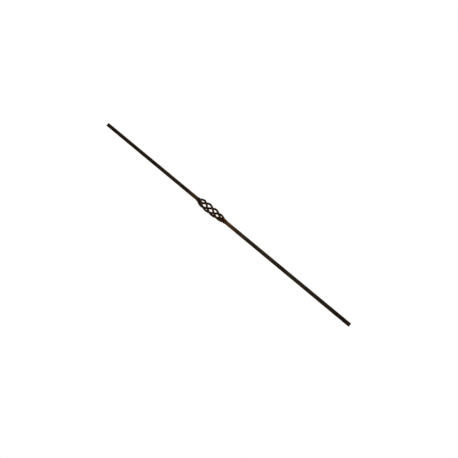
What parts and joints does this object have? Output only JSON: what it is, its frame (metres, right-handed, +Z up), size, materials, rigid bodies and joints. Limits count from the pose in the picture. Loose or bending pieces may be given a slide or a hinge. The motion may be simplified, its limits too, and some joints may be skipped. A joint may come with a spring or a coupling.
{
  "type": "stair baluster",
  "caption": "Square metal stair baluster with a single hollow basket of twisted round rods near mid height and plain ends, for setting between a tread and a handrail.",
  "frame": {"origin": "centre of the lower end face, where the baluster meets the tread or its shoe", "axes": "+Z up along the bar to the handrail end; +X and +Y square to the flat faces of the bar"},
  "size_m": [0.0332, 0.0332, 1.1176],
  "materials": {
    "bar": "dark oil-rubbed bronze coating, satin, a little copper rubbed through near the basket",
    "basket": "dark oil-rubbed bronze coating, satin, with copper rubbed through on the high sides",
    "weld": "the same coating over rough weld metal"
  },
  "bodies": {
    "root": {"upper_bar": "bar", "lower_bar": "bar", "basket_rod_1": "basket", "basket_rod_2": "basket", "basket_rod_3": "basket", "basket_rod_4": "basket", "upper_weld": "weld", "lower_weld": "weld"}
  },
  "joints": []
}
